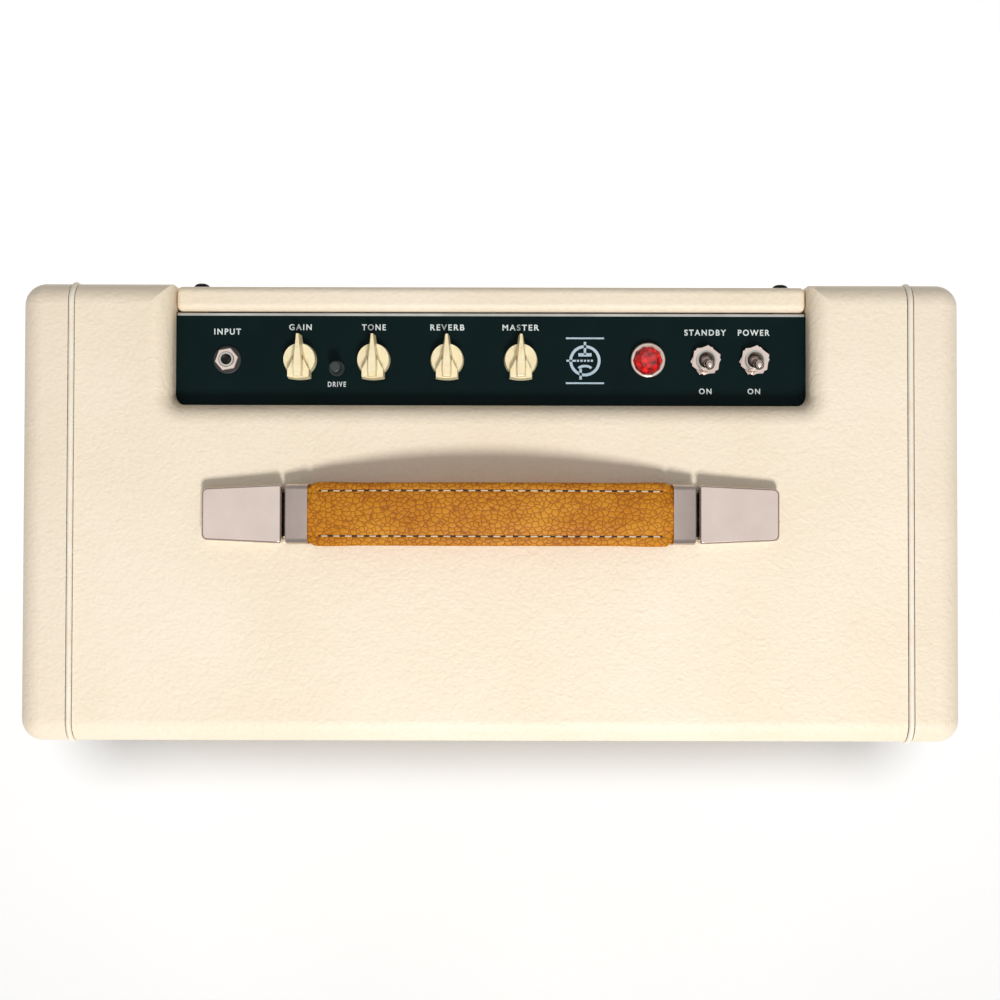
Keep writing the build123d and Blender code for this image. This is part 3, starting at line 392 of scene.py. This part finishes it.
# ---- Strap: a padded leather band, drawn over the three CAD lengths ----
grip_low, grip_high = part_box("handle_grip")
flex_x, _, flex_z = joint_at["right_flex"]
ferrule_low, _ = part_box("right_ferrule")
strap_half_width = (grip_high.y - grip_low.y) / 2
strap_y = (grip_low.y + grip_high.y) / 2
strap_half_thickness = 3.5 * MM
crown_z = grip_high.z - strap_half_thickness
arch_radius = (flex_x**2 + (crown_z - flex_z) ** 2) / (2 * (crown_z - flex_z))
ferrule_x = ferrule_low.x + 1.3 * MM
swell_x, swell_length = 0.094, 0.012
neck_x, neck_length = 0.1022, 0.0036
neck_half_width = 16.6 * MM
underside_depth = 2.6 * MM
ring_radius, lozenge_reach = 8.9 * MM, 5.2 * MM
stitch_rows = (strap_half_width - 5.3 * MM, -(strap_half_width - 6.1 * MM))


def smoothstep(value):
    share = min(max(value, 0.0), 1.0)
    return share * share * (3 - 2 * share)


def strap_centre(x):
    """Point and unit normal of the strap's middle line, in the XZ plane."""
    reach = min(abs(x), ferrule_x)
    slope = reach / arch_radius
    normal = Vector((math.copysign(slope, x), 0, math.sqrt(1 - slope**2)))
    point = Vector((0, 0, crown_z - arch_radius)) + normal * arch_radius
    spare = abs(x) - reach
    along = Vector((math.copysign(normal.z, x), 0, -abs(normal.x)))
    return point + along * spare, normal


def strap_width(x):
    """Half width: full along the grip, a slight swell by the ferrules, then drawn into them."""
    swell = 0.5 * MM * math.exp(-(((abs(x) - swell_x) / swell_length) ** 2))
    drawn = smoothstep((abs(x) - neck_x) / neck_length)
    return (strap_half_width - 0.5 * MM + swell) * (1 - drawn) + neck_half_width * drawn


def strap_height(x, y, upper):
    """Height above the middle line at a point across the strap, with its stitch grooves and emboss."""
    half = strap_width(x)
    share = min(abs(y) / half, 1.0)
    edge = (max(0.0, 1 - share**7)) ** 0.5
    if not upper:
        return -underside_depth * edge
    crown = 2.55 * MM + 0.95 * MM * smoothstep((0.74 - share) / 0.5)
    groove = sum(math.exp(-(((y - row) / (0.9 * MM)) ** 2)) for row in stitch_rows)
    distance = math.hypot(x, y)
    ring = math.exp(-(((distance - ring_radius) / (0.55 * MM)) ** 2)) * 0.75
    lozenge = abs(x) + abs(y)
    ring += math.exp(-(((lozenge - lozenge_reach) / (0.5 * MM)) ** 2)) * 0.6
    return (crown - 0.42 * MM * groove - 0.5 * MM * ring) * edge


def strap_half(sign):
    """One half of the strap, from the middle of the grip into the ferrule."""
    stations = [0.5 * MM * i for i in range(24)] + [12 * MM + 1.35 * MM * i for i in range(72)]
    stations = [x for x in stations if x < ferrule_x + 6 * MM] + [ferrule_x + 6 * MM]
    across_top, across_bottom = 72, 28
    mesh = bpy.data.meshes.new(f"strap_{'right' if sign > 0 else 'left'}")
    builder = bmesh.new()
    rings = []
    for station in stations:
        x = sign * station
        centre, normal = strap_centre(x)
        half = strap_width(x)
        ring = []
        for upper, steps in ((True, across_top), (False, across_bottom)):
            for i in range(steps):
                turn = math.pi * i / steps
                y = half * math.cos(turn if upper else math.pi + turn)
                place = centre + normal * strap_height(x, y, upper) + Vector((0, strap_y + y, 0))
                ring.append(builder.verts.new(place))
        rings.append(ring)
    for first, second in zip(rings, rings[1:]):
        for i in range(len(first)):
            j = (i + 1) % len(first)
            builder.faces.new((first[i], first[j], second[j], second[i]))
    builder.faces.new(rings[-1])
    bmesh.ops.recalc_face_normals(builder, faces=builder.faces)
    for face in builder.faces:
        face.smooth = True
    builder.to_mesh(mesh)
    builder.free()
    return mesh


def capsule(builder, centre, along, side, normal, length, radius, material_index):
    """A short rounded rod lying along one direction: a thread, or a dark blob of painted shade in one
    of the stitch holes.
    """
    steps, turns = 8, 8
    rings = []
    for i in range(steps + 1):
        angle = math.pi * i / steps
        offset = -math.cos(angle) * (length / 2)
        size = radius * (math.sin(angle) ** 0.35 if 0 < i < steps else 0.05)
        ring = []
        for j in range(turns):
            turn = 2 * math.pi * j / turns
            place = centre + along * offset + side * (size * math.cos(turn))
            ring.append(builder.verts.new(place + normal * (size * math.sin(turn))))
        rings.append(ring)
    for first, second in zip(rings, rings[1:]):
        for j in range(turns):
            k = (j + 1) % turns
            face = builder.faces.new((first[j], first[k], second[k], second[j]))
            face.smooth = True
            face.material_index = material_index
    for ring in (rings[0], rings[-1]):
        builder.faces.new(ring).material_index = material_index


def stitching(sign):
    """The stitches of one half, each a thread with a dark blob of painted shade at each end, where the
    stitch holes are.
    """
    pitch, length, radius, thread_lift = 7.1 * MM, 4.5 * MM, 0.46 * MM, 0.22 * MM
    shade_blob_length, shade_blob_radius, shade_blob_offset = 2.3 * MM, 0.55 * MM, 0.45 * MM
    last_station = ferrule_x - 2.6 * MM
    across = Vector((0, 1, 0))
    mesh = bpy.data.meshes.new(f"stitching_{'right' if sign > 0 else 'left'}")
    builder = bmesh.new()
    for row in stitch_rows:
        for i in range(15):
            station = sign * (pitch * (i + 0.5))
            if abs(station) > last_station:
                continue
            centre, normal = strap_centre(station)
            along = Vector((normal.z, 0, -normal.x))
            lift = normal * (strap_height(station, row, True) + thread_lift)
            surface = centre + lift + Vector((0, strap_y + row, 0))
            capsule(builder, surface, along, across, normal, length, radius, 0)
            # painted shade: dark blobs at both ends of each thread stand in for the shade inside the
            # stitch holes
            for end in (-1, 1):
                shade_blob = surface + along * (end * (length / 2 + shade_blob_offset)) - normal * 0.2 * MM
                capsule(builder, shade_blob, along, across, normal, shade_blob_length, shade_blob_radius, 1)
    bmesh.ops.recalc_face_normals(builder, faces=builder.faces)
    builder.to_mesh(mesh)
    builder.free()
    return mesh


thread = plastic("waxed_thread", srgb(226, 210, 180), srgb(206, 186, 150), 0.6, 2500.0, 0.5)
# painted shade for the stitch holes: a dark brown finish for the blobs at the thread ends
hole_shade = plastic("painted_hole_shade", srgb(58, 32, 14), srgb(42, 22, 8), 0.8)
for sign, side in ((-1, "left"), (1, "right")):
    strap = new_object(f"strap_{side}", strap_half(sign), finishes["leather"], None)
    stitches = new_object(f"stitching_{side}", stitching(sign), thread, None)
    stitches.data.materials.append(hole_shade)
    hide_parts("handle_grip", f"{side}_strap")
    for piece in (strap, stitches):
        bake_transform(piece)


# ---- Speaker cloth, stretched over its frame ----
def stretched_cloth():
    low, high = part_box("grille_cloth")
    columns, rows = 96, 36
    mesh = bpy.data.meshes.new("cloth")
    builder = bmesh.new()
    grid = []
    for row in range(rows + 1):
        line = []
        for column in range(columns + 1):
            u, v = column / columns, row / rows
            slack = 0.25 * MM * math.sin(math.pi * u) * math.sin(math.pi * v) * math.sin(9 * u + 5 * v)
            x = low.x + (high.x - low.x) * u
            z = low.z + (high.z - low.z) * v
            line.append(builder.verts.new((x, low.y + 0.5 * MM + slack, z)))
        grid.append(line)
    for first, second in zip(grid, grid[1:]):
        for column in range(columns):
            corners = (first[column], first[column + 1], second[column + 1], second[column])
            builder.faces.new(corners).smooth = True
    builder.to_mesh(mesh)
    builder.free()
    cloth = new_object("speaker_cloth", mesh, finishes["grille_cloth"], "cabinet")
    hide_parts("grille_cloth")


stretched_cloth()

# ---- Lettering: generic control words, printed on the faceplate ----
print_height = 0.05 * MM
stroke_weight = 0.022
letter_spacing = 1.3
ink = plastic("pale_ink", srgb(222, 230, 226), srgb(204, 214, 212), 0.5, 900.0, 0.1)
silver_ink = plastic("silver_ink", srgb(190, 208, 218), srgb(168, 190, 204), 0.45, 900.0, 0.1)


def lettering(word, x, y, cap_height, length):
    """A word of capitals centred on a point, a hair above the faceplate, scaled to its printed size."""
    curve = bpy.data.curves.new(f"text_{word.lower()}", "FONT")
    curve.body = word
    curve.size = 1.0
    curve.offset = stroke_weight
    curve.space_character = letter_spacing
    curve.align_x = "CENTER"
    curve.fill_mode = "FRONT"
    draft = bpy.data.objects.new("draft", curve)
    bpy.context.scene.collection.objects.link(draft)
    bpy.context.view_layer.update()
    mesh = bpy.data.meshes.new_from_object(draft.evaluated_get(bpy.context.evaluated_depsgraph_get()))
    bpy.data.objects.remove(draft)
    xs = [v.co.x for v in mesh.vertices]
    ys = [v.co.y for v in mesh.vertices]
    scale_x = length / (max(xs) - min(xs))
    scale_y = cap_height / (max(ys) - min(ys))
    for v in mesh.vertices:
        v.co.x = x + (v.co.x - (max(xs) + min(xs)) / 2) * scale_x
        v.co.y = y + (v.co.y - (max(ys) + min(ys)) / 2) * scale_y
        v.co.z = panel_z + print_height
    return mesh


knob_word_y, panel_word_y, on_word_y = 111.9, 109.1, 73.5
capitals, on_capitals = 3.7, 3.4
drive_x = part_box("drive_button")[0].x + 3.45 * MM
words = [
    ("input_word", "INPUT", mount_at["instrument_input"][0], panel_word_y, capitals, 16.2),
    ("gain_word", "GAIN", knob_x["gain"], knob_word_y, capitals, 13.6),
    ("tone_word", "TONE", knob_x["tone"], knob_word_y, capitals, 14.5),
    ("reverb_word", "REVERB", knob_x["reverb"], knob_word_y, capitals, 20.6),
    ("master_word", "MASTER", knob_x["master"], knob_word_y, capitals, 22.2),
    ("standby_word", "STANDBY", toggle_x["standby"], panel_word_y, capitals, 25.2),
    ("power_word", "POWER", toggle_x["power"], panel_word_y, capitals, 19.2),
    ("drive_word", "DRIVE", drive_x, 77.3, 3.1, 11.0),
    ("on_left", "ON", toggle_x["standby"], on_word_y, on_capitals, 7.6),
    ("on_right", "ON", toggle_x["power"], on_word_y, on_capitals, 7.6),
]
for name, word, x, y, cap_height, length in words:
    mesh = lettering(word, x, y * MM, cap_height * MM, length * MM)
    new_object(f"label_{name}", mesh, ink, "cabinet")


# ---- Emblem: a plain valve symbol between two fine rules ----
def ribbon(builder, points, width, closed=False):
    """A flat line of even width through points on the faceplate."""
    count = len(points)
    pairs = []
    for i, point in enumerate(points):
        before = points[(i - 1) % count] if closed or i else point
        after = points[(i + 1) % count] if closed or i < count - 1 else point
        direction = (Vector(after) - Vector(before)).normalized()
        side = Vector((-direction.y, direction.x)) * width / 2
        low, high = Vector(point) - side, Vector(point) + side
        pairs.append([builder.verts.new((v.x, v.y, panel_z + print_height)) for v in (low, high)])
    if closed:
        pairs.append(pairs[0])
    for first, second in zip(pairs, pairs[1:]):
        builder.faces.new((first[0], second[0], second[1], first[1]))


def emblem(x, y):
    mesh = bpy.data.meshes.new("emblem")
    builder = bmesh.new()
    radius = 8.6 * MM
    angles = [math.tau * i / 72 for i in range(72)]
    circle = [(x + radius * math.cos(t), y + radius * math.sin(t)) for t in angles]
    ribbon(builder, circle, 1.7 * MM, closed=True)
    anode_y, grid_y, cathode_y = y + 3.6 * MM, y, y - 3.6 * MM
    ribbon(builder, [(x - 4.0 * MM, anode_y), (x + 4.0 * MM, anode_y)], 2.0 * MM)
    ribbon(builder, [(x, anode_y), (x, y + 11.4 * MM)], 1.5 * MM)
    for i in range(-2, 3):
        dash_x = x + 2.1 * MM * i
        ribbon(builder, [(dash_x - 0.65 * MM, grid_y), (dash_x + 0.65 * MM, grid_y)], 1.2 * MM)
    ribbon(builder, [(x - 11.2 * MM, grid_y), (x - 5.4 * MM, grid_y)], 1.2 * MM)
    bow = [math.pi * (0.1 + 0.8 * i / 16) for i in range(17)]
    arc = [(x + 4.0 * MM * math.cos(t), cathode_y - 1.6 * MM + 2.0 * MM * math.sin(t)) for t in bow]
    ribbon(builder, arc, 1.5 * MM)
    ribbon(builder, [(x - 2.6 * MM, cathode_y - 1.2 * MM), (x - 2.6 * MM, y - 11.4 * MM)], 1.5 * MM)
    for rule_y in (y + 13.6 * MM, y - 13.6 * MM):
        ribbon(builder, [(x - 11.5 * MM, rule_y), (x + 11.5 * MM, rule_y)], 1.0 * MM)
    for face in builder.faces:
        if face.normal.z < 0:
            face.normal_flip()
    builder.to_mesh(mesh)
    builder.free()
    return mesh


emblem_x = (joint_at["master_turn"][0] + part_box("pilot_jewel")[0].x) / 2 + 5.0 * MM
new_object("emblem", emblem(emblem_x, control_y), silver_ink, "cabinet")

# ---- Stage, lights and camera ----
floor_mesh = bpy.data.meshes.new("floor")
reach = 6.0
floor_corners = [(-reach, -reach, 0), (reach, -reach, 0), (reach, reach, 0), (-reach, reach, 0)]
floor_mesh.from_pydata(floor_corners, [], [(0, 1, 2, 3)])
floor = bpy.data.objects.new("floor", floor_mesh)
bpy.context.scene.collection.objects.link(floor)
paper = Finish("studio_paper", 0.9)
paper.colour(paper.ramp(paper.noise(3.0), (0.3, srgb(252, 252, 252)), (0.7, srgb(255, 255, 255))))
floor_mesh.materials.append(paper.material)


def area_light(name, place, target, size, power, lit):
    """A disc light that reaches only the objects of one collection."""
    light = bpy.data.lights.new(name, "AREA")
    light.shape = "DISK"
    light.size = size
    light.energy = power
    obj = bpy.data.objects.new(name, light)
    obj.location = place
    obj.rotation_euler = (Vector(target) - Vector(place)).to_track_quat("-Z", "Y").to_euler()
    bpy.context.scene.collection.objects.link(obj)
    obj.light_linking.receiver_collection = lit
    return obj


amplifier_lit = bpy.data.collections.new("amplifier_lit")
for obj in bpy.context.scene.objects:
    if obj.type == "MESH" and obj != floor:
        amplifier_lit.objects.link(obj)
floor_lit = bpy.data.collections.new("floor_lit")
floor_lit.objects.link(floor)

world = bpy.data.worlds.new("studio")
world.use_nodes = True
world.node_tree.nodes["Background"].inputs["Color"].default_value = (1.0, 1.0, 1.0, 1.0)
world.node_tree.nodes["Background"].inputs["Strength"].default_value = 0.38
bpy.context.scene.world = world
area_light("key", (0.3, -1.5, 2.3), (0, 0, 0.25), 0.6, 51, amplifier_lit)
area_light("backdrop", (0, 0.32, 2.6), (0, 0, 0), 0.6, 46, floor_lit)
reflector = area_light("reflector", (0, 0.1, 2.6), (0, 0.1, 0), 4.0, 30, amplifier_lit)
reflector.visible_diffuse = False

camera_height = top_z + 0.887
camera_tilt = math.radians(1.1)
camera_roll = math.radians(0.13)
camera = bpy.data.cameras.new("camera")
camera.lens = 54
camera.sensor_width = 36
camera.shift_x = 0.0095
camera_object = bpy.data.objects.new("camera", camera)
camera_object.location = (0, -0.0099, camera_height)
camera_object.rotation_euler = (camera_tilt, 0, camera_roll)
bpy.context.scene.collection.objects.link(camera_object)
bpy.context.scene.camera = camera_object
bpy.context.scene.view_settings.view_transform = "Standard"
